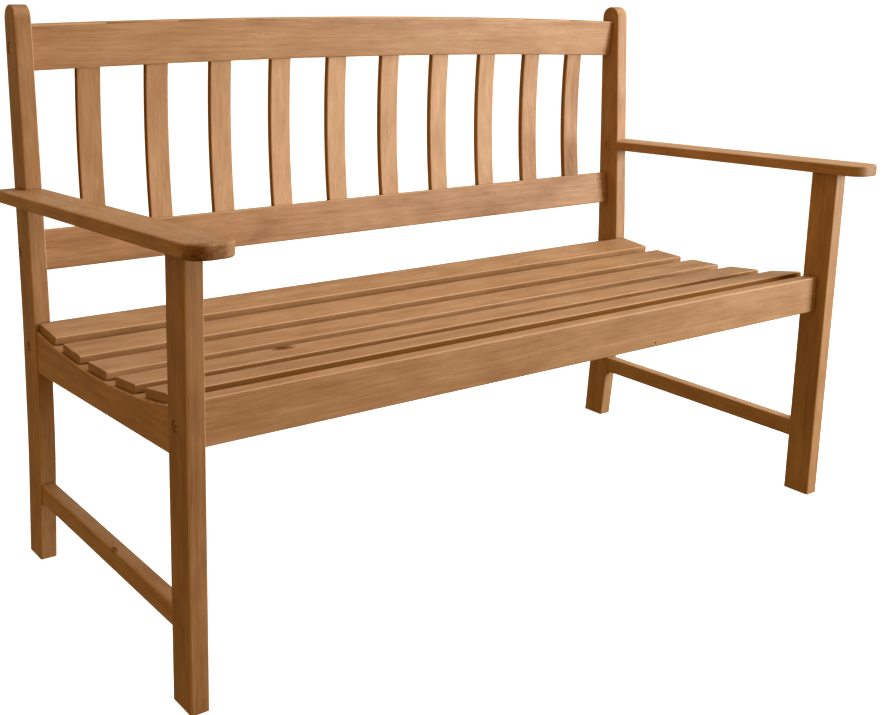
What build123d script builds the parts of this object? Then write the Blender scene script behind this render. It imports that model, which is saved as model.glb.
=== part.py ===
from build123d import *
import os
from math import asin, cos, degrees, radians, sin, sqrt, tan

# Slatted garden bench in oiled hardwood, in millimetres.
# While it is put together, X runs along the bench from its middle, Y runs back from the front
# faces of the front legs, and Z runs up from the floor. At the end the whole bench is centred.

# End frames: overall
frame_length = 1320.0  # over the outer faces of the two end frames
leg_thickness = 27.0  # of every leg, along the bench
front_leg_depth = 52.0

# Rear legs: a raked foot, an upright part and a leaning back post with a round crown
rear_leg_front = 516.0  # front of the upright part
rear_leg_depth = 54.5  # of the upright part
foot_depth = 50.0
foot_rake = 16.0  # how far the foot stands behind the upright part
knee_height = 185.0  # where the rake ends
bend_height = 404.0  # where the lean begins
post_lean = 3.7  # degrees
post_top_depth = 44.0
back_height = 892.0
crown_flat = 1.0  # left between the two crown rounds
leg_sweep = 1400.0  # radius of the bends in the sawn outline

# Side rails and stretchers, centred in the thickness of the legs
side_rail_thickness = 22.0
side_rail_bottom_front = 341.0  # above the floor
side_rail_bottom_rear = 323.0
stretcher_thickness = 22.0
stretcher_height = 32.0
stretcher_bottom = 102.0

# Dished seat
seat_radius = 1400.0  # of the hollow, seen from the side
seat_low_point = 330.0
seat_low_height = 392.0  # top of a slat above the floor at the lowest line
seat_slat_count = 5
seat_slat_width = 66.0
seat_slat_thickness = 13.0
seat_slat_inset = 8.0  # of the slat ends from the end frames' outer faces
slat_leg_gap = 15.0  # front slat behind the front legs
slat_post_gap = 1.0  # rear slat in front of the rear legs
slat_seat_gap = 0.1  # between a slat's lower corners and the rails

# Cross rails under the seat
apron_thickness = 22.0
apron_height = 65.0
apron_bottom = 353.5
apron_setback = 20.0  # behind the front legs' front faces
seat_rail_thickness = 22.0
seat_rail_height = 64.0
seat_rail_bottom = 330.0
bearer_thickness = 22.0
bearer_rise = 4.0  # lower edge of the bearer above the apron's and the seat rail's

# Hollow back
back_rail_thickness = 20.0
top_rail_drop = 65.0  # middle of the rail's ends below the top of the posts
top_rail_height = 70.5
top_rail_arch = 10.5
top_rail_setback = 29.0  # middle of the rail behind the front of the post
bottom_rail_middle = 510.0  # above the floor
bottom_rail_height = 64.0
bottom_rail_setback = 39.0
back_radius = 1300.0  # of the hollow, seen from the side
back_slat_count = 10
back_slat_width = 40.0
back_slat_thickness = 12.0

# Armrests
arm_width = 65.0
arm_thickness = 19.0
arm_height = 630.0  # of the top, over the front legs' front faces
arm_fall = 1.86  # degrees, down to the rear
arm_splay = 1.65  # degrees, out to the rear
arm_inset = 14.5  # centre line inside the frame's outer face, over the front legs' front faces
arm_overhang = 58.0  # in front of the front legs
arm_ear = 42.0  # along the outside of the post
arm_front_round = 25.0
arm_rear_round = 5.0

# Rounding of the edges
edge_round = 2.5
slat_edge_round = 2.0

# Joints and their clearances
shoulder_gap = 0.1
notch_gap = 0.3
tenon_thickness = 10.0
tenon_shoulder = 8.0  # above and below a tenon
tenon_clearance = 0.15
tenon_end_gap = 0.5
stretcher_tenon_length = 18.0
side_tenon_wall = 3.0  # left between a side rail's tenon and the dowels of the cross rails
bearer_tenon_length = 10.0
back_tenon_thickness = 8.0
back_tenon_width = 30.0
back_tenon_length = 14.0

# Furniture bolts, cross dowel nuts, wooden dowels and seat screws
bolt_diameter = 6.0
bolt_reach = 45.0  # beyond the joint
bolt_head_diameter = 15.0
bolt_head_thickness = 3.0
bolt_socket = 4.0  # across flats
bolt_socket_depth = 2.0
bolt_recess = 4.0  # depth of the head's counterbore
bolt_clearance = 0.25
head_clearance = 0.75
nut_diameter = 10.0
nut_length = 14.0
nut_setback = 35.0  # from the end of the rail
nut_clearance = 0.15
thread_clearance = 0.1
arm_bolt_reach = 25.0
arm_nut_setback = 18.0
arm_nut_length = 12.0
dowel_diameter = 8.0
dowel_length = 30.0
dowel_edge = 13.0  # from the edge of the rail
dowel_clearance = 0.1
dowel_end_gap = 0.5
arm_dowel_diameter = 10.0
arm_dowel_spacing = 24.0
arm_dowel_in_leg = 18.0
arm_dowel_in_arm = 12.0
seat_peg_diameter = 6.0
seat_peg_in_slat = 8.0
seat_peg_in_rail = 12.0
screw_diameter = 4.0
screw_head_diameter = 8.0
screw_head_thickness = 3.0
screw_grip = 20.0  # of the bearer
screw_in_slat = 8.0
screw_hole_depth = 80.0  # below the slat, out through the bearer

# Lines that the pieces share
frame_half = frame_length / 2
inner_half = frame_half - leg_thickness
leg_middle = frame_half - leg_thickness / 2
rear_leg_back = rear_leg_front + rear_leg_depth
post_top_front = rear_leg_front + (back_height - bend_height) * tan(radians(post_lean))
post_top_back = post_top_front + post_top_depth
top_rail_middle = back_height - top_rail_drop
apron_middle = apron_setback + apron_thickness / 2
seat_rail_middle = rear_leg_front + rear_leg_depth / 2
seat_centre_height = seat_low_height + seat_radius
rail_top_radius = seat_radius + seat_slat_thickness
side_tenon_length = front_leg_depth - apron_middle - dowel_diameter / 2 - side_tenon_wall


def foot_front(height):
    """Front of the rear leg's raked foot."""
    return rear_leg_front + foot_rake * (1 - height / knee_height)


def post_front(height):
    """Front of the leaning post."""
    return rear_leg_front + (height - bend_height) * tan(radians(post_lean))


def post_back(height):
    """Back of the leaning post, which tapers towards its crown."""
    share = (height - bend_height) / (back_height - bend_height)
    return rear_leg_back + (post_top_back - rear_leg_back) * share


def rail_top(depth):
    """Height of the hollow that the side rails and the bearer are sawn to."""
    return seat_centre_height - sqrt(rail_top_radius**2 - (depth - seat_low_point) ** 2)


def arm_under(depth):
    """Height of the armrest's underside."""
    fall = radians(arm_fall)
    return arm_height - depth * tan(fall) - arm_thickness / cos(fall)


def side_slab(outline, thickness, middle):
    """A board whose outline is seen from the side, set with its middle at a place along the bench."""
    face = make_face(outline)
    return Pos(middle, 0, 0) * extrude(Plane.YZ * face, thickness / 2, both=True)


def block(middle, width, low, high):
    """A block centred on a place along the bench, between two corners seen from the side."""
    corner = Pos(middle - width / 2, low[0], low[1])
    return corner * Box(width, high[0] - low[0], high[1] - low[1], align=(Align.MIN,) * 3)


def eased(board, edge_count, radius):
    """The board with its longest edges rounded over."""
    return fillet(board.edges().sort_by(SortBy.LENGTH)[-edge_count:], radius)


def rod_x(radius, start, end, up=0.0):
    """A rod along the bench."""
    return Pos((start + end) / 2, up, 0) * Cylinder(radius, end - start, rotation=(0, 90, 0))


def rod_z(radius, start, end):
    """An upright rod."""
    return Pos(0, 0, (start + end) / 2) * Cylinder(radius, end - start)


def both_sides(piece):
    """A piece of the right-hand end and its mirror image."""
    return [piece, mirror(piece, about=Plane.YZ)]


# Planes of the four cross rails: X along the rail, Y up it, Z out of its front
def rail_plane(depth, height, tilt=0.0):
    """The middle plane of a rail whose top leans back by a tilt in degrees."""
    lean = radians(tilt)
    return Plane(origin=(0, depth, height), x_dir=(1, 0, 0), z_dir=(0, -cos(lean), sin(lean)))


bottom_rail_depth = post_front(bottom_rail_middle) + bottom_rail_setback
top_rail_depth = post_front(top_rail_middle) + top_rail_setback
chord = Vector(top_rail_depth - bottom_rail_depth, top_rail_middle - bottom_rail_middle)
chord_lean = degrees(asin(chord.X / chord.length))
back_half_angle = degrees(asin(chord.length / 2 / back_radius))
arc_depth = cos(radians(back_half_angle)) * back_radius
back_centre = Vector(bottom_rail_depth, bottom_rail_middle) + chord / 2
back_centre -= Vector(cos(radians(chord_lean)), -sin(radians(chord_lean))) * arc_depth

apron_plane = rail_plane(apron_middle, apron_bottom + apron_height / 2)
seat_rail_plane = rail_plane(seat_rail_middle, seat_rail_bottom + seat_rail_height / 2)
bottom_rail_plane = rail_plane(bottom_rail_depth, bottom_rail_middle, chord_lean + back_half_angle)
top_rail_plane = rail_plane(top_rail_depth, top_rail_middle, chord_lean - back_half_angle)


# Bolted rail ends: each has one furniture bolt into a cross dowel nut, and two wooden dowels
def furniture_bolt(head_seat, tip):
    """A bolt along the bench whose flat head, with a hexagon socket, lies on its seat away from the tip."""
    outward = 1 if head_seat > tip else -1
    head_face = head_seat + outward * bolt_head_thickness
    socket_floor = head_face - outward * bolt_socket_depth
    shank = rod_x(bolt_diameter / 2, *sorted((tip, head_seat)))
    head = rod_x(bolt_head_diameter / 2, *sorted((head_seat, head_face)))
    socket = extrude(RegularPolygon(bolt_socket / 2, 6, major_radius=False), bolt_socket_depth)
    return shank + head - Pos(min(socket_floor, head_face), 0, 0) * Rot(0, 90, 0) * socket


def rail_end(plane, height, thickness):
    """Fixings at the right-hand end of a rail, with the holes they need in the leg and the rail."""
    head_seat = frame_half - bolt_recess
    bolt_tip = inner_half - bolt_reach
    nut_middle = inner_half - nut_setback
    bolt = furniture_bolt(head_seat, bolt_tip)

    nut_bore = rod_x(bolt_diameter / 2 + thread_clearance, bolt_tip, inner_half)
    nut = Pos(nut_middle, 0, 0) * Cylinder(nut_diameter / 2, nut_length) - nut_bore
    nut_hole = rod_z(nut_diameter / 2 + nut_clearance, -thickness, nut_length / 2 + tenon_end_gap)

    bolt_hole = rod_x(bolt_diameter / 2 + bolt_clearance, bolt_tip - tenon_end_gap, frame_half)
    head_radius = bolt_head_diameter / 2 + head_clearance
    counterbore = rod_x(head_radius, head_seat, frame_half + edge_round)
    dowels = []
    dowel_holes = []
    for side in (-1, 1):
        up = side * (height / 2 - dowel_edge)
        start = inner_half - dowel_length / 2
        end = inner_half + dowel_length / 2
        dowels.append(rod_x(dowel_diameter / 2, start, end, up))
        hole_radius = dowel_diameter / 2 + dowel_clearance
        dowel_holes.append(rod_x(hole_radius, start - dowel_end_gap, end + dowel_end_gap, up))

    nut_hole = Pos(nut_middle, 0, 0) * nut_hole
    place = plane.location
    return {
        "bolt": place * bolt,
        "nut": place * nut,
        "dowels": [place * dowel for dowel in dowels],
        "leg_holes": [place * hole for hole in [bolt_hole, counterbore] + dowel_holes],
        "rail_holes": [place * hole for hole in [bolt_hole, nut_hole] + dowel_holes],
    }


apron_end = rail_end(apron_plane, apron_height, apron_thickness)
seat_rail_end = rail_end(seat_rail_plane, seat_rail_height, seat_rail_thickness)
bottom_rail_end = rail_end(bottom_rail_plane, bottom_rail_height, back_rail_thickness)
top_rail_end = rail_end(top_rail_plane, top_rail_height, back_rail_thickness)
rail_ends = [apron_end, seat_rail_end, bottom_rail_end, top_rail_end]

# Armrest fixings: a bolt from inside the post into the ear, and two dowels in the front leg
arm_middle_height = arm_under(rear_leg_front) + arm_thickness / 2
arm_bolt_depth = (post_front(arm_middle_height) + post_back(arm_middle_height)) / 2
arm_bolt_height = arm_under(arm_bolt_depth) + arm_thickness / cos(radians(arm_fall)) / 2
arm_bolt_place = Pos(0, arm_bolt_depth, arm_bolt_height)
arm_head_seat = inner_half + bolt_recess
arm_bolt_tip = frame_half + arm_bolt_reach
arm_nut_middle = frame_half + arm_nut_setback

arm_bolt = arm_bolt_place * furniture_bolt(arm_head_seat, arm_bolt_tip)
arm_nut = Pos(arm_nut_middle, 0, 0) * Cylinder(nut_diameter / 2, arm_nut_length)
arm_nut -= rod_x(bolt_diameter / 2 + thread_clearance, frame_half, arm_bolt_tip)
arm_nut = arm_bolt_place * arm_nut
arm_nut_hole = rod_z(nut_diameter / 2 + nut_clearance, -arm_thickness, arm_nut_length / 2 + tenon_end_gap)
arm_nut_hole = arm_bolt_place * Pos(arm_nut_middle, 0, 0) * arm_nut_hole

arm_bolt_hole = rod_x(bolt_diameter / 2 + bolt_clearance, inner_half, arm_bolt_tip + tenon_end_gap)
arm_bolt_hole = arm_bolt_place * arm_bolt_hole
arm_counterbore = rod_x(bolt_head_diameter / 2 + head_clearance, inner_half - edge_round, arm_head_seat)
arm_counterbore = arm_bolt_place * arm_counterbore

arm_dowels = []
arm_dowel_holes = []
for side in (-1, 1):
    depth = front_leg_depth / 2 + side * arm_dowel_spacing / 2
    place = Pos(leg_middle, depth, arm_under(depth))
    arm_dowels.append(place * rod_z(arm_dowel_diameter / 2, -arm_dowel_in_leg, arm_dowel_in_arm))
    hole_radius = arm_dowel_diameter / 2 + dowel_clearance
    low = -arm_dowel_in_leg - dowel_end_gap
    arm_dowel_holes.append(place * rod_z(hole_radius, low, arm_dowel_in_arm + dowel_end_gap))


# Tenons of the side rails and stretchers, and the mortises that take them
def tenon(depth_low, depth_high, height_low, height_high, clearance=0.0):
    """A tenon in the middle of the legs' thickness, or its mortise with a clearance all round."""
    low = (depth_low, height_low - clearance)
    high = (depth_high, height_high + clearance)
    return block(leg_middle, tenon_thickness + 2 * clearance, low, high)


side_front_tenon = (side_rail_bottom_front + tenon_shoulder, rail_top(front_leg_depth) - tenon_shoulder)
side_rear_tenon = (side_rail_bottom_rear + tenon_shoulder, rail_top(rear_leg_front) - tenon_shoulder)
stretcher_top = stretcher_bottom + stretcher_height
stretcher_tenon = (stretcher_bottom + tenon_shoulder, stretcher_top - tenon_shoulder)
stretcher_shoulder = foot_front(stretcher_bottom + stretcher_height / 2)
side_mortise_depth = side_tenon_length + tenon_end_gap
stretcher_mortise_depth = stretcher_tenon_length + tenon_end_gap


# Front leg: a square post whose top is cut to the fall of the armrest
def front_leg():
    outline = Polyline(
        (0, 0),
        (front_leg_depth, 0),
        (front_leg_depth, arm_under(front_leg_depth) - shoulder_gap),
        (0, arm_under(0) - shoulder_gap),
        close=True,
    )
    leg = eased(side_slab(outline, leg_thickness, leg_middle), 4, edge_round)
    mortises = [
        tenon(front_leg_depth - side_mortise_depth, front_leg_depth, *side_front_tenon, tenon_clearance),
        tenon(front_leg_depth - stretcher_mortise_depth, front_leg_depth, *stretcher_tenon, tenon_clearance),
    ]
    return leg - mortises - apron_end["leg_holes"] - arm_dowel_holes


# Rear leg: sawn from a wide board to a swept outline with a round crown
def rear_leg():
    crown = (post_top_depth - crown_flat) / 2
    outline = FilletPolyline(
        (rear_leg_front + foot_rake, 0),
        (rear_leg_front, knee_height),
        (rear_leg_front, bend_height),
        (post_top_front, back_height),
        (post_top_back, back_height),
        (rear_leg_back, bend_height),
        (rear_leg_back, knee_height),
        (rear_leg_front + foot_rake + foot_depth, 0),
        radius=[leg_sweep, leg_sweep, crown, crown, leg_sweep, leg_sweep],
    )
    sole = Line(outline @ 1, outline @ 0)
    leg = side_slab(outline + sole, leg_thickness, leg_middle)
    faces = leg.faces().sort_by(Axis.X)
    rims = (faces[0].edges() + faces[-1].edges()).group_by(Axis.Z)
    above_the_sole = [edge for level in rims[1:] for edge in level]
    leg = fillet(above_the_sole, edge_round)
    stretcher_end = stretcher_shoulder + stretcher_mortise_depth
    mouth = rear_leg_front - edge_round
    mortises = [
        tenon(mouth, rear_leg_front + side_mortise_depth, *side_rear_tenon, tenon_clearance),
        tenon(mouth, stretcher_end, *stretcher_tenon, tenon_clearance),
    ]
    holes = seat_rail_end["leg_holes"] + bottom_rail_end["leg_holes"] + top_rail_end["leg_holes"]
    return leg - mortises - holes - [arm_bolt_hole, arm_counterbore]


# Boards that carry the slats have a straight lower edge and a top sawn to the hollow of the seat
def hollow_outline(front_corner, rear_corner):
    """Side view of such a board, from its two lower corners."""
    front_top = (front_corner[0], rail_top(front_corner[0]))
    rear_top = (rear_corner[0], rail_top(rear_corner[0]))
    lowest = (seat_low_point, rail_top(seat_low_point))
    straight = Polyline(front_top, front_corner, rear_corner, rear_top)
    return straight + ThreePointArc(front_top, lowest, rear_top)


# Side rail: tenoned between the legs
def side_rail():
    front = front_leg_depth + shoulder_gap
    rear = rear_leg_front - shoulder_gap
    outline = hollow_outline((front, side_rail_bottom_front), (rear, side_rail_bottom_rear))
    rail = eased(side_slab(outline, side_rail_thickness, leg_middle), 4, edge_round)
    rail += tenon(front_leg_depth - side_tenon_length, front + tenon_shoulder, *side_front_tenon)
    rail += tenon(rear - tenon_shoulder, rear_leg_front + side_tenon_length, *side_rear_tenon)
    return rail - seat_peg_holes


# Stretcher: tenoned between the legs near the floor, its rear shoulder cut to the rake of the foot
def side_stretcher():
    front = front_leg_depth + shoulder_gap
    outline = Polyline(
        (front, stretcher_bottom),
        (foot_front(stretcher_bottom) - shoulder_gap, stretcher_bottom),
        (foot_front(stretcher_top) - shoulder_gap, stretcher_top),
        (front, stretcher_top),
        close=True,
    )
    stretcher = eased(side_slab(outline, stretcher_thickness, leg_middle), 4, edge_round)
    stretcher += tenon(front_leg_depth - stretcher_tenon_length, front + tenon_shoulder, *stretcher_tenon)
    rear_end = stretcher_shoulder + stretcher_tenon_length
    return stretcher + tenon(rear_leg_front - tenon_shoulder, rear_end, *stretcher_tenon)


# Armrest: round in front, notched round the post at the rear so that an ear laps its outside
def armrest():
    along = cos(radians(arm_fall)) * cos(radians(arm_splay))
    length = (arm_overhang + post_front(arm_middle_height) + arm_ear) / along
    plan = Pos(0, length / 2 - arm_overhang / along) * Rectangle(arm_width, length)
    ends = plan.vertices().group_by(Axis.Y)
    plan = fillet(ends[0], arm_front_round)
    plan = fillet(plan.vertices().group_by(Axis.Y)[-1], arm_rear_round)
    arm = extrude(plan, -arm_thickness)
    rims = arm.faces().sort_by(Axis.Z)
    arm = fillet(rims[0].edges() + rims[-1].edges(), edge_round)
    arm = Pos(frame_half - arm_inset, 0, arm_height) * Rot(-arm_fall, 0, 0) * Rot(0, 0, -arm_splay) * arm
    low = arm_middle_height - 2 * arm_thickness
    high = arm_middle_height + 2 * arm_thickness
    notch = Polyline(
        (post_front(low) - notch_gap, low),
        (post_front(high) - notch_gap, high),
        (post_top_back + arm_ear, high),
        (post_top_back + arm_ear, low),
        close=True,
    )
    notch_width = leg_thickness + arm_width
    notch_middle = frame_half + notch_gap - notch_width / 2
    arm -= side_slab(notch, notch_width, notch_middle)
    return arm - arm_dowel_holes - [arm_bolt_hole, arm_nut_hole]


# Seat slats: flat boards laid side by side round the hollow of the rails
slat_under_radius = sqrt(rail_top_radius**2 - (seat_slat_width / 2) ** 2) - slat_seat_gap
first_slat = front_leg_depth + slat_leg_gap + seat_slat_width / 2
last_slat = rear_leg_front - slat_post_gap - seat_slat_width / 2
seat_slat_pitch = (last_slat - first_slat) / (seat_slat_count - 1)
slat_depths = [first_slat + number * seat_slat_pitch for number in range(seat_slat_count)]


def slat_place(depth):
    """The middle of a slat's underside, turned to the slope of the hollow there."""
    turn = asin((depth - seat_low_point) / slat_under_radius)
    height = seat_centre_height - slat_under_radius * cos(turn)
    return Pos(0, depth, height) * Rot(degrees(turn), 0, 0)


peg_across = (frame_half - seat_slat_inset + inner_half) / 2
screw_hole_radius = screw_diameter / 2 + dowel_clearance
seat_pegs = []
seat_peg_holes = []
seat_screws = []
seat_screw_holes = []
for depth in slat_depths:
    place = slat_place(depth)
    peg_place = place * Pos(peg_across, 0, 0)
    seat_pegs.append(peg_place * rod_z(seat_peg_diameter / 2, -seat_peg_in_rail, seat_peg_in_slat))
    peg_radius = seat_peg_diameter / 2 + dowel_clearance
    low = -seat_peg_in_rail - dowel_end_gap
    seat_peg_holes.append(peg_place * rod_z(peg_radius, low, seat_peg_in_slat + dowel_end_gap))
    head = rod_z(screw_head_diameter / 2, -screw_grip - screw_head_thickness, -screw_grip)
    seat_screws.append(place * (head + rod_z(screw_diameter / 2, -screw_grip, screw_in_slat)))
    head_hole = rod_z(screw_head_diameter / 2 + head_clearance, -screw_hole_depth, -screw_grip)
    shank_hole = rod_z(screw_hole_radius, -screw_hole_depth, screw_in_slat + dowel_end_gap)
    seat_screw_holes.append(place * (head_hole + shank_hole))


def seat_slat(number):
    """One slat, pegged to both side rails and screwed from the bearer."""
    length = 2 * (frame_half - seat_slat_inset)
    slat = Box(length, seat_slat_width, seat_slat_thickness, align=(Align.CENTER, Align.CENTER, Align.MIN))
    slat = slat_place(slat_depths[number]) * eased(slat, 4, slat_edge_round)
    return slat - both_sides(seat_peg_holes[number]) - seat_screw_holes[number]


# Cross rails under the seat, bolted between the legs
def straight_rail(plane, height, thickness, end):
    """A plain rail between the legs, with the holes for its fixings."""
    length = 2 * (inner_half - shoulder_gap)
    rail = plane.location * eased(Box(length, height, thickness), 4, edge_round)
    for hole in end["rail_holes"]:
        rail -= both_sides(hole)
    return rail


# Bearer: carries the middle of the slats, tenoned into the apron and the rear seat rail
bearer_front = apron_setback + apron_thickness
bearer_rear = seat_rail_middle - seat_rail_thickness / 2
bearer_low_front = apron_bottom + bearer_rise
bearer_low_rear = seat_rail_bottom + bearer_rise


def bearer_tenon(end, clearance=0.0, end_gap=0.0):
    """The bearer's tenon at its front or rear end, or its mortise with clearances."""
    width = tenon_thickness + 2 * clearance
    reach = bearer_tenon_length + end_gap
    if end == "front":
        low = (bearer_front - reach, bearer_low_front + tenon_shoulder - clearance)
        high = (bearer_front + tenon_shoulder, rail_top(bearer_front) - tenon_shoulder + clearance)
    else:
        low = (bearer_rear - tenon_shoulder, bearer_low_rear + tenon_shoulder - clearance)
        high = (bearer_rear + reach, rail_top(bearer_rear) - tenon_shoulder + clearance)
    return block(0, width, low, high)


def seat_bearer():
    front_corner = (bearer_front + shoulder_gap, bearer_low_front)
    rear_corner = (bearer_rear - shoulder_gap, bearer_low_rear)
    bearer = side_slab(hollow_outline(front_corner, rear_corner), bearer_thickness, 0)
    bearer += [bearer_tenon("front"), bearer_tenon("rear")]
    return bearer - seat_screw_holes


# Hollow back: slats bent to one curve, tenoned into a straight rail and an arched one
def back_blank(width, thickness, across):
    """A bent strip that runs along the curve of the back, from the middle of one rail to the other's."""
    middle = (back_centre.X, back_centre.Y)
    start = -chord_lean - back_half_angle
    front = CenterArc(middle, back_radius - thickness / 2, start, 2 * back_half_angle)
    rear = CenterArc(middle, back_radius + thickness / 2, start, 2 * back_half_angle)
    outline = front + rear + [Line(front @ 0, rear @ 0), Line(front @ 1, rear @ 1)]
    return side_slab(outline, width, across)


def arch_rise(across):
    """How far the top rail's edges have risen at a place along it."""
    half = inner_half - shoulder_gap
    radius = (half**2 + top_rail_arch**2) / (2 * top_rail_arch)
    return sqrt(radius**2 - across**2) - radius + top_rail_arch


def arched_edge(left, right, height):
    """Part of the top rail's edge, whose height is given at the ends of the rail."""
    points = [(across, height + arch_rise(across)) for across in (left, (left + right) / 2, right)]
    return ThreePointArc(*points)


def tenoned_core(width, thickness, across, depth):
    """A bent strip that enters both rails to a depth, as a tenon or as the cutter of its mortises."""
    spare = 2 * top_rail_height
    top = -top_rail_height / 2 + arch_rise(across) + depth
    bottom = bottom_rail_height / 2 - depth
    over = Pos(across, top + spare / 2, 0) * Box(2 * width, spare, spare)
    under = Pos(across, bottom - spare / 2, 0) * Box(2 * width, spare, spare)
    core = back_blank(width, thickness, across) - top_rail_plane.location * over
    return core - bottom_rail_plane.location * under


back_slat_gap = (2 * inner_half - back_slat_count * back_slat_width) / (back_slat_count + 1)
back_slat_pitch = back_slat_width + back_slat_gap
back_slat_places = [
    (number - (back_slat_count - 1) / 2) * back_slat_pitch for number in range(back_slat_count)
]


def back_slat(across):
    spare = 2 * top_rail_height
    left = across - back_slat_width
    right = across + back_slat_width
    shoulder = arched_edge(left, right, -top_rail_height / 2 - shoulder_gap)
    over = make_face(shoulder + Polyline(shoulder @ 0, (left, spare), (right, spare), shoulder @ 1))
    bottom = bottom_rail_height / 2 + shoulder_gap
    below = Pos(across, bottom - spare / 2, 0) * Box(2 * back_slat_width, spare, spare)
    body = eased(back_blank(back_slat_width, back_slat_thickness, across), 4, slat_edge_round)
    body -= top_rail_plane.location * extrude(over, spare / 2, both=True)
    body -= bottom_rail_plane.location * below
    return body + tenoned_core(back_tenon_width, back_tenon_thickness, across, back_tenon_length)


def back_mortise(across):
    """The hole in both rails for one slat's tenons."""
    width = back_tenon_width + 2 * tenon_clearance
    thickness = back_tenon_thickness + 2 * tenon_clearance
    return tenoned_core(width, thickness, across, back_tenon_length + tenon_end_gap)


back_mortises = [back_mortise(across) for across in back_slat_places]


def back_top_rail():
    half = inner_half - shoulder_gap
    lower = arched_edge(-half, half, -top_rail_height / 2)
    upper = arched_edge(-half, half, top_rail_height / 2)
    outline = lower + upper + [Line(lower @ 0, upper @ 0), Line(lower @ 1, upper @ 1)]
    board = extrude(make_face(outline), back_rail_thickness / 2, both=True)
    rail = top_rail_plane.location * eased(board, 4, edge_round) - back_mortises
    for hole in top_rail_end["rail_holes"]:
        rail -= both_sides(hole)
    return rail


# The whole bench, piece by piece
pieces = {}


def add_pair(name, piece):
    """Both ends' copies of a piece, right and left as seen from in front of the bench."""
    right, left = both_sides(piece)
    pieces[name + "_right"] = right
    pieces[name + "_left"] = left


add_pair("front_leg", front_leg())
add_pair("rear_leg", rear_leg())
add_pair("side_rail", side_rail())
add_pair("side_stretcher", side_stretcher())
add_pair("armrest", armrest())
apron = straight_rail(apron_plane, apron_height, apron_thickness, apron_end)
pieces["front_apron"] = apron - bearer_tenon("front", tenon_clearance, tenon_end_gap)
rear_rail = straight_rail(seat_rail_plane, seat_rail_height, seat_rail_thickness, seat_rail_end)
pieces["rear_seat_rail"] = rear_rail - bearer_tenon("rear", tenon_clearance, tenon_end_gap)
pieces["seat_bearer"] = seat_bearer()
for number in range(seat_slat_count):
    pieces[f"seat_slat_{number + 1}"] = seat_slat(number)
pieces["back_bottom_rail"] = (
    straight_rail(bottom_rail_plane, bottom_rail_height, back_rail_thickness, bottom_rail_end) - back_mortises
)
pieces["back_top_rail"] = back_top_rail()
for number, across in enumerate(back_slat_places):
    pieces[f"back_slat_{number + 1:02d}"] = back_slat(across)

groups = {
    "frame_bolts": [end["bolt"] for end in rail_ends],
    "cross_dowel_nuts": [end["nut"] for end in rail_ends] + [arm_nut],
    "rail_dowels": [dowel for end in rail_ends for dowel in end["dowels"]],
    "arm_bolts": [arm_bolt],
    "arm_dowels": arm_dowels,
    "seat_pegs": seat_pegs,
}
for name, members in groups.items():
    pieces[name] = [solid for member in members for copy in both_sides(member) for solid in copy.solids()]
pieces["seat_screws"] = [solid for screw in seat_screws for solid in screw.solids()]

# The origin goes to the floor under the middle of the bench
front_reach = pieces["armrest_right"].bounding_box().min.Y
rear_reach = pieces["rear_leg_right"].bounding_box().max.Y
centred = Pos(0, -(front_reach + rear_reach) / 2, 0)
os.makedirs("parts", exist_ok=True)
for name, piece in pieces.items():
    solids = piece if isinstance(piece, list) else piece.solids()
    placed = [centred * solid for solid in solids]
    export_step(placed[0] if len(placed) == 1 else Compound(placed), f"parts/{name}.step")
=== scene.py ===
from itertools import count
from math import cos, radians, sin

import bpy
from mathutils import Matrix, Vector


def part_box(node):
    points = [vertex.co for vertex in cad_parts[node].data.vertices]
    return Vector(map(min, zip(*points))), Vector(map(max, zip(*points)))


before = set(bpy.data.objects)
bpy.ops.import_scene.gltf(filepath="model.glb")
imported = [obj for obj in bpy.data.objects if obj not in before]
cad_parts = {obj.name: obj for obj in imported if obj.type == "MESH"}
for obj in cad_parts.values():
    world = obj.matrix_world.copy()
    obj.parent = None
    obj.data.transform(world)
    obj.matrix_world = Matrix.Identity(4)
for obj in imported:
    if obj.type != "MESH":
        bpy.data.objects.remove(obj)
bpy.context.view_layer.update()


# Front legs
# Two straight hardwood posts, planed, their arrises rounded over and the whole frame oiled
# a honey brown. Each carries an armrest, a side rail and a stretcher, and the apron's bolt.
mm = 0.001


def linear(colour):
    """A colour given as sRGB hex digits, in linear light."""
    channels = [int(colour[place:place + 2], 16) / 255 for place in (0, 2, 4)]
    light = [c / 12.92 if c <= 0.04045 else ((c + 0.055) / 1.055) ** 2.4 for c in channels]
    return (*light, 1.0)


def add(material, kind, inputs=None, **settings):
    """Adds a node to a material or a world, makes its settings, and sets or links each of its inputs.
    A node given for an input is linked by the first output that its settings leave open."""
    tree = material.node_tree
    node = tree.nodes.new("ShaderNode" + kind)
    for setting, value in settings.items():
        setattr(node, setting, value)
    for socket, value in (inputs or {}).items():
        if isinstance(value, bpy.types.Node):
            value = next(output for output in value.outputs if output.enabled)
        if isinstance(value, bpy.types.NodeSocket):
            tree.links.new(value, node.inputs[socket])
        else:
            node.inputs[socket].default_value = value
    return node


def new_material(name):
    """A material without nodes."""
    material = bpy.data.materials.new(name)
    material.use_nodes = True
    material.node_tree.nodes.clear()
    return material


def finish_node(node_name, material):
    """Gives a piece of the frame its finish."""
    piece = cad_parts[node_name]
    piece.data.materials.clear()
    piece.data.materials.append(material)


figure_roughness = 0.55


def board_figure(material, place, length, width, detail):
    """Uneven marks drawn out along a board, about so long and so wide."""
    stretch = (1 / length, 1 / width, 1 / width)
    stretched = add(material, "VectorMath", {0: place, 1: stretch}, operation="MULTIPLY")
    return add(material, "TexNoise", {"Vector": stretched, "Scale": 1.0, "Detail": detail,
                                      "Roughness": figure_roughness})


ring_width = 6 * mm
ring_wander = 10 * mm
wander_length = 420 * mm
wander_width = 70 * mm
late_wood_sharpness = 3.0


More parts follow.
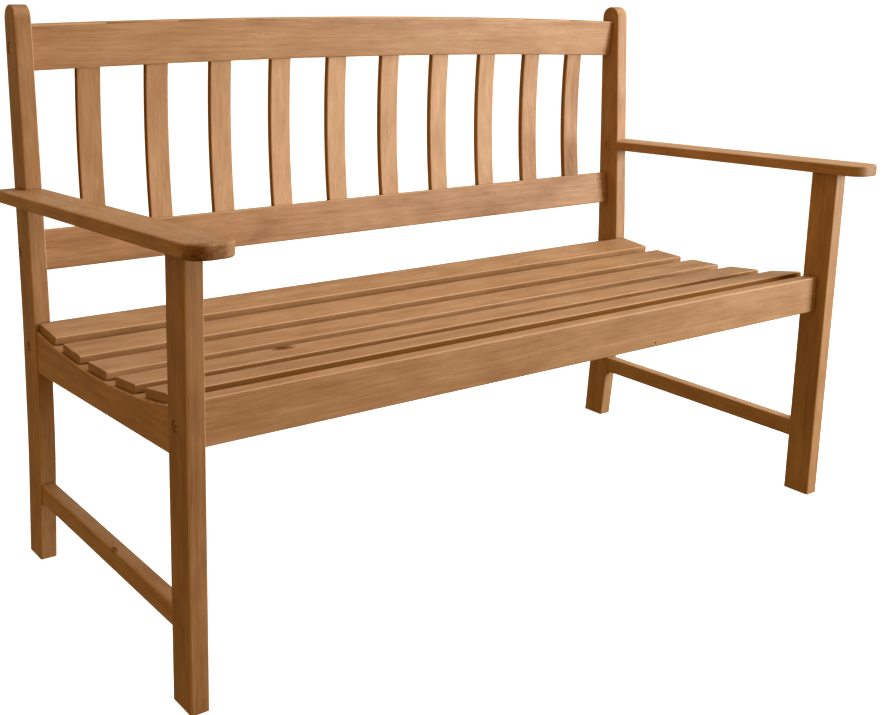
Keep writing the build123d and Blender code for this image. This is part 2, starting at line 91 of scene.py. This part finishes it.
def growth_rings(material, place, bulge):
    """The late wood that closes each year's ring. The rings wander a little along the trunk."""
    wander = board_figure(material, place, wander_length, wander_width, detail=2.0)
    wander = add(material, "MapRange", {"Value": wander, "To Min": -ring_wander, "To Max": ring_wander})
    flat = add(material, "VectorMath", {0: place, 1: (0, 1, 1)}, operation="MULTIPLY")
    radius = add(material, "VectorMath", {0: flat}, operation="LENGTH")
    for change in (wander, bulge):
        radius = add(material, "Math", {0: radius, 1: change}, operation="ADD")
    year = add(material, "Math", {0: radius, 1: ring_width}, operation="DIVIDE")
    season = add(material, "Math", {0: year}, operation="FRACT")
    return add(material, "Math", {0: season, 1: late_wood_sharpness}, operation="POWER")


# Figure of a board: fibres, streaks, a few thin dark lines, patches that took more oil, and pores
fibre_length = 45 * mm
# Real fibres are too fine to show from here, so these are drawn about five times as coarse
fibre_width = 2.8 * mm
streak_length = 620 * mm
streak_width = 14 * mm
line_length = 380 * mm
line_width = 4.5 * mm
blotch_length = 90 * mm
blotch_width = 32 * mm
pore_length = 14 * mm
pore_width = 1.5 * mm

# How far each of them darkens the wood, at the least and at the most
ring_depth = {"To Min": 0.0, "To Max": 0.06}
fibre_depth = {"To Min": -0.17, "To Max": 0.17}
streak_depth = {"To Min": 0.15, "To Max": 0.37}
blotch_depth = {"To Min": -0.02, "To Max": 0.40}
line_depth = {"From Min": 0.60, "From Max": 0.72, "To Max": 0.05}
pore_depth = {"From Min": 0.64, "From Max": 0.76, "To Max": 0.3}

# Colours of the oiled boards, from the pale early wood to the dark streaks
wood_tones = ((0.0, "E0BC96"), (0.3, "C8A27B"), (0.5, "B48C64"), (0.75, "936A40"), (1.0, "6B4421"))
pore_colour = "6E4522"


def wood_colour(material, depth):
    """Oiled wood of a given depth, from 0 for the palest to 1 for the darkest."""
    ramp = add(material, "ValToRGB", {"Fac": depth})
    stops = ramp.color_ramp.elements
    while len(stops) < len(wood_tones):
        stops.new(0.5)
    for stop, (position, colour) in zip(stops, wood_tones):
        stop.position = position
        stop.color = linear(colour)
    return ramp


# A knot has a ragged dark core, and pushes the rings aside out to three times its own size.
# Distances from its centre are counted in its half sizes. The same dark core also paints a patch of
# shade where one is listed among the knots
knot_and_shade_colour = "562A08"
knot_core = {"From Min": 1.2, "From Max": 0.3, "To Max": 0.85}
knot_bulge = {"From Min": 3.0, "From Max": 0.0, "To Max": 1.5 * ring_width}
knot_raggedness = {"To Min": -0.5, "To Max": 0.5}
ragged_length = blotch_width / 3
ragged_width = blotch_width / 6


def knot_and_shade_marks(material, place, turn, shift, knots):
    """How dark knots, and patches of painted shade listed with them, leave each spot of a board, and
    how far they push its rings aside.
    """
    dark_core = 0.0
    bulge = 0.0
    for centre, half_length, half_width in knots:
        knot_place = turn @ (Vector(centre) * mm) + shift
        half_sizes = Vector((half_length, half_width, half_width)) * mm
        offset = add(material, "VectorMath", {0: place, 1: knot_place}, operation="SUBTRACT")
        offset = add(material, "VectorMath", {0: offset, 1: half_sizes}, operation="DIVIDE")
        distance = add(material, "VectorMath", {0: offset}, operation="LENGTH")
        ragged = board_figure(material, place, ragged_length, ragged_width, detail=2.0)
        ragged = add(material, "MapRange", {"Value": ragged, **knot_raggedness})
        distance = add(material, "Math", {0: distance, 1: ragged}, operation="ADD")
        core = add(material, "MapRange", {"Value": distance, **knot_core})
        push = add(material, "MapRange", {"Value": distance, **knot_bulge})
        dark_core = add(material, "Math", {0: core, 1: dark_core}, operation="ADD")
        bulge = add(material, "Math", {0: push, 1: bulge}, operation="ADD")
    return dark_core, bulge


# Arrises slope between two faces, so they face no axis squarely. They are painted paler, partly as wear
# and partly as a painted highlight where they catch the light. Those that run across the grain pale
# least, and those that face down, in shade, not at all
arris_wear_and_highlight_colour = "E6C29A"
arris_squareness = {"From Min": 0.95, "From Max": 0.8}
arris_upward = {"From Min": -0.3, "From Max": -0.1}
arris_endward = {"From Min": 0.5, "From Max": 0.2, "To Min": 0.15}
least_paling = 0.1


def rubbed_and_lit_arrises(material, normal, facing_end, blotch, arris_paling):
    """How far the arrises of a board are painted paler, unevenly: partly wear, partly painted
    highlight.
    """
    slopes = add(material, "VectorMath", {0: normal}, operation="ABSOLUTE")
    slopes = add(material, "SeparateXYZ", {"Vector": slopes}).outputs
    squareness = add(material, "Math", {0: slopes["X"], 1: slopes["Y"]}, operation="MAXIMUM")
    squareness = add(material, "Math", {0: squareness, 1: slopes["Z"]}, operation="MAXIMUM")
    uneven = add(material, "MapRange", {"Value": blotch, "To Min": least_paling, "To Max": arris_paling})
    paled_arris = add(material, "MapRange", {"Value": squareness, **arris_squareness, "To Max": uneven})
    upward = add(material, "SeparateXYZ", {"Vector": normal}).outputs["Z"]
    upward = add(material, "MapRange", {"Value": upward, **arris_upward})
    along_grain = add(material, "MapRange", {"Value": facing_end, **arris_endward})
    for share in (upward, along_grain):
        paled_arris = add(material, "Math", {0: paled_arris, 1: share}, operation="MULTIPLY")
    return paled_arris


# End grain drinks more oil and dries darker. The edge faces of the slats, which stand in the gaps
# between them, get painted shade. The limits say how squarely a surface faces along the grain, or
# sideways, to show it
end_grain_colour = "4E280C"
end_facing = {"From Min": 0.6, "From Max": 0.95}
edge_shade_colour = "845824"
edge_facing = {"From Min": 0.8, "From Max": 0.98}

# Painted shade: corners and gaps, where little around a spot is open, are darkened as shade would
# darken them
corner_shade_colour = "401F08"
corner_reach = 12 * mm
corner_samples = 6
corner_shade_depth = {"From Min": 0.66, "From Max": 0.22, "To Max": 0.9}

# Satin oil, which sinks away in knots and leaves them dull; it is dulled too on patches and edge faces
# where shade is painted
oil_ior = 1.46
oil_gloss = 0.3
dull_share = 0.4
fibre_roughness = {"To Min": 0.40, "To Max": 0.58}
blotch_roughness = {"To Min": -0.05, "To Max": 0.05}
late_wood_relief = 0.5
pore_relief = -2.0
relief_strength = 0.25
relief_height = 0.4 * mm

# Metres along the trunk from one board to the next, so that no two show the same figure
board_spacing = 1.7
boards = count(1)


def oiled_hardwood(node_name, grain, face, heart, tone=0.0, knots=(), end_grain=0.2, edges=0.0,
                   arris_paling=1.1):
    """Planed and oiled hardwood, sawn through and through: rings about a heart that lies beside the
    board, so that the faces show long figure, and the ends short arcs and pores. A higher tone is
    darker. The heart's place and a knot's centre, half length and half width are in mm; a knot can also
    be a patch of painted shade. The last three say how dark the oil leaves end grain, how much shade is
    painted on the edge faces, and how far the arrises pale, partly worn and partly painted highlight."""
    material = new_material("oiled_hardwood_" + node_name)
    low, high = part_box(node_name)
    along = Vector(grain).normalized()
    across = Vector(face).cross(along).normalized()
    turn = Matrix((along, across, along.cross(across)))
    shift = -(turn @ ((low + high) / 2))
    shift += Vector((next(boards) * board_spacing, heart[0] * mm, heart[1] * mm))
    coordinate = add(material, "TexCoord").outputs["Object"]
    place = add(material, "Mapping", {"Vector": coordinate, "Rotation": turn.to_euler(),
                                      "Location": shift})

    dark_core, bulge = knot_and_shade_marks(material, place, turn, shift, knots)
    late_wood = growth_rings(material, place, bulge)
    fibre = board_figure(material, place, fibre_length, fibre_width, detail=3.0)
    streak = board_figure(material, place, streak_length, streak_width, detail=3.0)
    line = board_figure(material, place, line_length, line_width, detail=1.0)
    blotch = board_figure(material, place, blotch_length, blotch_width, detail=2.0)
    depth = tone
    for figure, limits in ((late_wood, ring_depth), (fibre, fibre_depth), (streak, streak_depth),
                           (blotch, blotch_depth), (line, line_depth)):
        darker = add(material, "MapRange", {"Value": figure, **limits})
        depth = add(material, "Math", {0: depth, 1: darker}, operation="ADD")
    pores = board_figure(material, place, pore_length, pore_width, detail=1.0)
    pores = add(material, "MapRange", {"Value": pores, **pore_depth})

    normal = add(material, "NewGeometry").outputs["Normal"]
    facing_end = add(material, "VectorMath", {0: normal, 1: along}, operation="DOT_PRODUCT")
    facing_end = add(material, "Math", {0: facing_end}, operation="ABSOLUTE")
    oil_drunk = add(material, "MapRange", {"Value": facing_end, **end_facing, "To Max": end_grain})
    # Painted shade on the edge faces that stand in the gaps between slats, as strong as edges says
    facing_side = add(material, "VectorMath", {0: normal, 1: across}, operation="DOT_PRODUCT")
    facing_side = add(material, "Math", {0: facing_side}, operation="ABSOLUTE")
    edge_shade_share = add(material, "MapRange", {"Value": facing_side, **edge_facing, "To Max": edges})
    # Arrises paled partly by wear and partly by a painted highlight, none where they face down into
    # shade
    paled_arris = rubbed_and_lit_arrises(material, normal, facing_end, blotch, arris_paling)
    # Painted shade in corners and gaps, as dark as little around each spot is open
    openness = add(material, "AmbientOcclusion", {"Distance": corner_reach}, samples=corner_samples)
    painted_corner_shade = add(material, "MapRange", {"Value": openness.outputs["AO"], **corner_shade_depth})

    colour = wood_colour(material, depth)
    layers = ((pores, pore_colour), (dark_core, knot_and_shade_colour), (oil_drunk, end_grain_colour),
              (edge_shade_share, edge_shade_colour), (paled_arris, arris_wear_and_highlight_colour), (painted_corner_shade, corner_shade_colour))
    for share, layer in layers:
        colour = add(material, "Mix", {"Factor": share, 6: colour, 7: linear(layer)}, data_type="RGBA")

    roughness = add(material, "MapRange", {"Value": fibre, **fibre_roughness})
    uneven = add(material, "MapRange", {"Value": blotch, **blotch_roughness})
    roughness = add(material, "Math", {0: roughness, 1: uneven}, operation="ADD")
    relief = add(material, "Math", {0: late_wood, 1: late_wood_relief, 2: fibre},
                 operation="MULTIPLY_ADD")
    relief = add(material, "Math", {0: pores, 1: pore_relief, 2: relief}, operation="MULTIPLY_ADD")
    bump = add(material, "Bump", {"Height": relief, "Strength": relief_strength,
                                  "Distance": relief_height})
    gloss = oil_gloss
    if knots or edges:
        dullness = add(material, "Math", {0: edge_shade_share, 1: dark_core}, operation="ADD")
        gloss = add(material, "MapRange", {"Value": dullness, "From Max": dull_share,
                                           "To Min": oil_gloss, "To Max": 0.0})
    shader = add(material, "BsdfPrincipled", {"Base Color": colour, "Roughness": roughness,
                                              "IOR": oil_ior, "Specular IOR Level": gloss,
                                              "Normal": bump})
    add(material, "OutputMaterial", {"Surface": shader})
    finish_node(node_name, material)


upright = (0, 0, 1)
lengthwise = (1, 0, 0)
front_to_back = (0, 1, 0)
oiled_hardwood("front_leg_left", upright, front_to_back, heart=(40, 70), tone=0.13)
oiled_hardwood("front_leg_right", upright, front_to_back, heart=(-60, 50), tone=0.03)


# Rear legs
# Each is sawn in one piece with the back post from a wide board, so its grain runs straight up
# through the raked foot and the leaning post. The top is rounded over.
oiled_hardwood("rear_leg_left", upright, front_to_back, heart=(55, 60), tone=0.08)
oiled_hardwood("rear_leg_right", upright, front_to_back, heart=(-45, 80), tone=0.04)


# Side rails
# A board tenoned between the legs of each end frame, its top edge sawn to the hollow of the seat.
# The ends of the seat slats lie on it.
oiled_hardwood("side_rail_left", front_to_back, lengthwise, heart=(30, 90))
oiled_hardwood("side_rail_right", front_to_back, lengthwise, heart=(-40, 70))


# Side stretchers
# Low planed rails tenoned between the front and rear legs of each end frame, which keep them from
# spreading. The left one has a knot in its outer face.
oiled_hardwood("side_stretcher_left", front_to_back, lengthwise, heart=(25, 60),
               knots=[((-657, -21, 136), 12, 7)])
oiled_hardwood("side_stretcher_right", front_to_back, lengthwise, heart=(-35, 55), tone=-0.08)


# Rails between the end frames
# The apron in front and the seat rail at the back are boards bolted and dowelled between the legs.
# The bearer, tenoned between their middles, is sawn to the hollow of the seat like the side rails.
oiled_hardwood("front_apron", lengthwise, front_to_back, heart=(60, 110), tone=0.02, arris_paling=0.6,
               knots=[((204, -246, 361), 2.8, 1.8)])
oiled_hardwood("rear_seat_rail", lengthwise, front_to_back, heart=(-50, 90))
oiled_hardwood("seat_bearer", front_to_back, lengthwise, heart=(45, 60))


# Seat slats
# Five boards laid over the hollow of the rails, pegged into the side rails and screwed from
# below to the bearer. Shade is painted on their front and back edge faces, most on the two in front.
seat_knots = {
    1: [((2, -199, 398), 9, 5)],
    2: [((-390, -45, 397), 22, 16)],
}
# Painted shade on each seat slat's front and back edge faces, in the gaps, strongest on the two in
# front
seat_edges = (0.85, 0.6, 0.12, 0.28, 0.18)
for number, edges in enumerate(seat_edges, 1):
    oiled_hardwood(f"seat_slat_{number}", lengthwise, upright,
                   heart=(20 * number - 70, 60 + 12 * number),
                   knots=seat_knots.get(number, ()), edges=edges)


# Back rails
# The bottom rail is a straight board and the top rail is sawn to an arch. Both are bolted and
# dowelled between the posts and mortised for the slats.
oiled_hardwood("back_bottom_rail", lengthwise, front_to_back, heart=(-40, 120), tone=0.08)
oiled_hardwood("back_top_rail", lengthwise, front_to_back, heart=(70, 100), tone=-0.05)


# Back slats
# Ten thin boards bent to a hollow back and tenoned into the two back rails. They come from
# different planks, so each has its own shade. Painted shade on their side edge faces lessens from
# left to right, toward the key light.
slat_tones = (-0.02, -0.10, -0.18, -0.28, -0.24, -0.18, -0.18, -0.17, -0.03, 0.08)
slat_knots = {2: [((-387, 294, 647), 7, 4)]}
# Painted shade on the back slats' side edge faces, strongest on the left and falling off toward the key
# light
first_edge = 0.98
edge_fall = 0.06
for number, tone in enumerate(slat_tones, 1):
    oiled_hardwood(f"back_slat_{number:02d}", upright, front_to_back,
                   heart=(14 * number - 80, 40 + 9 * number), tone=tone,
                   knots=slat_knots.get(number, ()), edges=first_edge - edge_fall * number)


# Armrests
# Boards with rounded front corners, dowelled on the front legs and notched round the posts, where a
# bolt from inside holds the ear. A dark patch of painted shade darkens the front end of the left one.
# The dark spot listed for the left armrest is painted shade on its front end, not a knot
oiled_hardwood("armrest_left", front_to_back, upright, heart=(35, 90), end_grain=0.1, arris_paling=0.4,
               knots=[((-670, -322, 604), 34, 38)])
oiled_hardwood("armrest_right", front_to_back, upright, heart=(-30, 85), end_grain=0.3, arris_paling=0.6)


# Fasteners
# Flat-headed furniture bolts with hexagon sockets, sunk in counterbores, their cross dowel nuts and
# the slat screws, all zinc plated and passivated yellow, which leaves a dull brassy shine.
zinc_brown = "B08450"
zinc_gold = "D2AC76"
mottle_size = 3 * mm
zinc_roughness = {"To Min": 0.4, "To Max": 0.55}


def passivated_zinc(name):
    """Steel plated with zinc and passivated: metallic, dull and faintly mottled."""
    material = new_material(name)
    coordinate = add(material, "TexCoord").outputs["Object"]
    mottle = add(material, "TexNoise", {"Vector": coordinate, "Scale": 1 / mottle_size, "Detail": 3.0})
    colour = add(material, "Mix", {"Factor": mottle, 6: linear(zinc_brown), 7: linear(zinc_gold)},
                 data_type="RGBA")
    roughness = add(material, "MapRange", {"Value": mottle, **zinc_roughness})
    shader = add(material, "BsdfPrincipled", {"Base Color": colour, "Roughness": roughness,
                                              "Metallic": 1.0})
    add(material, "OutputMaterial", {"Surface": shader})
    return material


steel = passivated_zinc("yellow_passivated_zinc")
for node_name in ("frame_bolts", "cross_dowel_nuts", "arm_bolts", "seat_screws"):
    finish_node(node_name, steel)


# Dowels and pegs
# Turned beech pins, glued into their holes and hidden once the bench is together: dowels beside the
# bolts, which keep the rails from turning, dowels under the armrests, and pegs in the slat ends.
beech_brown = "C79F6E"
beech_cream = "DDBB8C"
fleck_size = 2 * mm
bare_roughness = 0.7


def turned_beech(name):
    """Pale fine-grained wood with a chalky, unoiled surface."""
    material = new_material(name)
    coordinate = add(material, "TexCoord").outputs["Object"]
    fleck = add(material, "TexNoise", {"Vector": coordinate, "Scale": 1 / fleck_size, "Detail": 2.0})
    colour = add(material, "Mix", {"Factor": fleck, 6: linear(beech_brown), 7: linear(beech_cream)},
                 data_type="RGBA")
    shader = add(material, "BsdfPrincipled", {"Base Color": colour, "Roughness": bare_roughness})
    add(material, "OutputMaterial", {"Surface": shader})
    return material


beech = turned_beech("turned_beech")
for node_name in ("rail_dowels", "arm_dowels", "seat_pegs"):
    finish_node(node_name, beech)


# Floor
# A plain white sheet under the bench that turns up far away on every side. It shines as brightly as
# the lit paper of a studio would look, and gives the bench no light. It isn't part of the bench.
floor_half = 60.0
wall_height = 40.0
paper_colour = "E8E8E6"
paper_roughness = 0.9
glow_colour = "FFFFFF"
glow_strength = 1.05

sheet_corners = ((-1, -1), (1, -1), (1, 1), (-1, 1))
sheet_points = [(x * floor_half, y * floor_half, z) for z in (0, wall_height) for x, y in sheet_corners]
walls = [(corner, (corner + 1) % 4, (corner + 1) % 4 + 4, corner + 4) for corner in range(4)]
floor_mesh = bpy.data.meshes.new("studio_floor")
floor_mesh.from_pydata(sheet_points, [], [(0, 1, 2, 3)] + walls)
floor = bpy.data.objects.new("studio_floor", floor_mesh)
bpy.context.scene.collection.objects.link(floor)
paper = new_material("white_studio_paper")
paper_shader = add(paper, "BsdfPrincipled", {
    "Base Color": linear(paper_colour),
    "Roughness": paper_roughness,
    "Emission Color": linear(glow_colour),
    "Emission Strength": glow_strength,
})
add(paper, "OutputMaterial", {"Surface": paper_shader})
floor_mesh.materials.append(paper)
floor.visible_diffuse = False
floor.visible_glossy = False
floor.visible_shadow = False


# Light
# A soft box to the right in front, another overhead, and a dim studio whose bare boards warm the
# faces that the boxes miss. A pale wall stands behind the bench, and less light comes from below.
def soft_box(name, place, aim, size, power):
    """A square area light turned to its aim, in metres and watts."""
    light = bpy.data.lights.new(name, "AREA")
    light.shape = "SQUARE"
    light.size = size
    light.energy = power
    lamp = bpy.data.objects.new(name, light)
    lamp.location = place
    lamp.rotation_euler = (Vector(aim) - Vector(place)).to_track_quat("-Z", "Y").to_euler()
    bpy.context.scene.collection.objects.link(lamp)


bench_middle = (0, 0, 0.45)
soft_box("key_box", (2.2, -1.85, 1.0), bench_middle, size=1.1, power=73)
soft_box("top_box", (1.2, -0.3, 3.0), bench_middle, size=2.0, power=44)

dim_studio = "B18A4B"
pale_wall = "C2B8A8"
wall_side = Vector((0.56, 0.83, 0))
wall_edges = {"From Min": 0.3, "From Max": 0.8}
shade_below = {"From Min": 0.0, "From Max": -0.3, "To Min": 1.0, "To Max": 0.45}

world = bpy.data.worlds.new("studio")
world.use_nodes = True
world.node_tree.nodes.clear()
bpy.context.scene.world = world
direction = add(world, "TexCoord").outputs["Generated"]
behind = add(world, "VectorMath", {0: direction, 1: wall_side}, operation="DOT_PRODUCT")
wall = add(world, "MapRange", {"Value": behind, **wall_edges})
surround = add(world, "Mix", {"Factor": wall, 6: linear(dim_studio), 7: linear(pale_wall)},
               data_type="RGBA")
height = add(world, "SeparateXYZ", {"Vector": direction}).outputs["Z"]
strength = add(world, "MapRange", {"Value": height, **shade_below})
background = add(world, "Background", {"Color": surround, "Strength": strength})
add(world, "OutputWorld", {"Surface": background})
bpy.context.scene.view_settings.view_transform = "Standard"


# Camera
# It stands to the left in front of the bench, about as high as the top of the back. The photograph's
# frame is cut out of a larger one, so the lens axis doesn't meet the frame's middle.
image_width = 894
image_height = 715
focal_pixels = 1220.0
axis_pixel = (360.0, 250.0)
sensor_width = 36
camera_place = (-1.3010, -1.5419, 0.9195)
yaw = radians(35.101)
pitch = radians(-12.015)
roll = radians(0.768)

camera_data = bpy.data.cameras.new("camera")
camera_data.sensor_width = sensor_width
camera_data.lens = focal_pixels / image_width * sensor_width
camera_data.shift_x = (image_width / 2 - axis_pixel[0]) / image_width
camera_data.shift_y = (axis_pixel[1] - image_height / 2) / image_width
forward = Vector((sin(yaw) * cos(pitch), cos(yaw) * cos(pitch), sin(pitch)))
right = Vector((cos(yaw), -sin(yaw), 0))
above = right.cross(forward)
tilted_right = right * cos(roll) + above * sin(roll)
tilted_above = above * cos(roll) - right * sin(roll)
camera_axes = Matrix((tilted_right, tilted_above, -forward)).transposed()
camera = bpy.data.objects.new("camera", camera_data)
camera.matrix_world = Matrix.Translation(camera_place) @ camera_axes.to_4x4()
bpy.context.scene.collection.objects.link(camera)
bpy.context.scene.camera = camera
